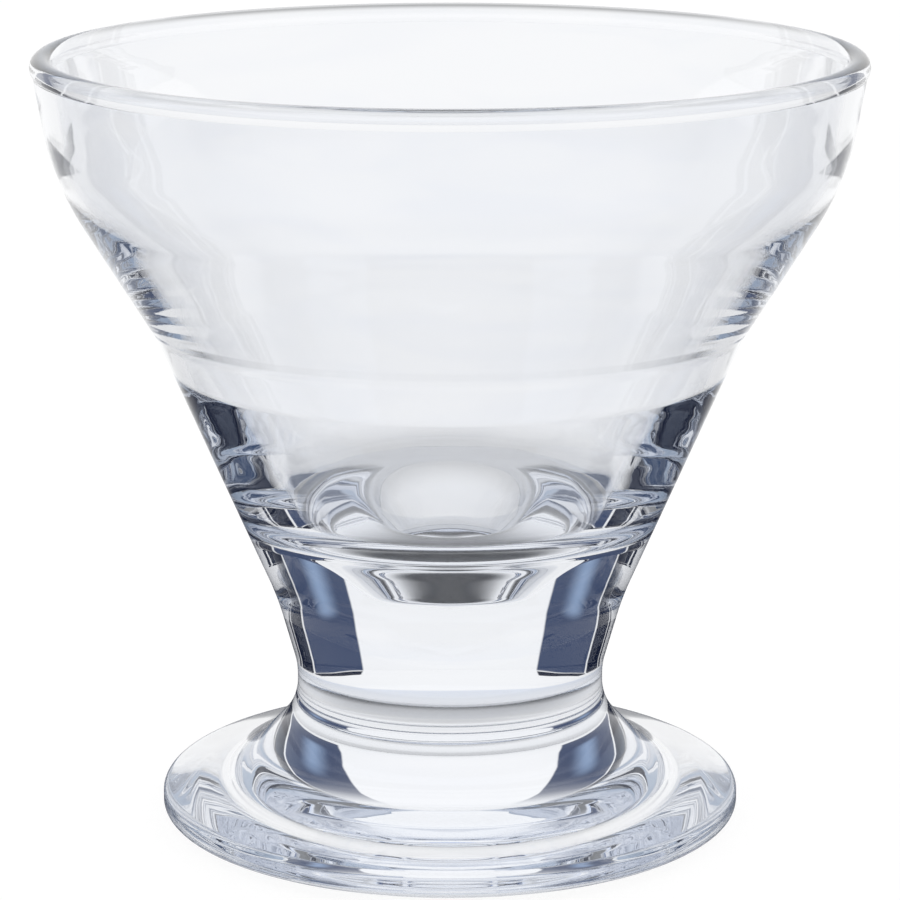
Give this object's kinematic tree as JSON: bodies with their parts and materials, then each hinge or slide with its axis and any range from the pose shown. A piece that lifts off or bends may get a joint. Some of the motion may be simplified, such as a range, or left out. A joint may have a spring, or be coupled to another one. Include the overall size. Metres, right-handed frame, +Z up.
{
  "type": "footed dessert glass",
  "caption": "Clear pressed dessert glass with a wide V-shaped bowl, thick bottom, rounded rim, short solid stem and flared round foot.",
  "frame": {"origin": "centre of the standing ring's plane, under the middle of the foot", "axes": "+Z up along the axis of the glass, towards the rim; X and Y level, the glass is round"},
  "size_m": [0.103, 0.103, 0.098],
  "materials": {
    "clear_glass": "clear, fire-polished"
  },
  "bodies": {
    "root": {"foot": "clear_glass", "stem": "clear_glass", "bowl": "clear_glass"}
  },
  "joints": []
}
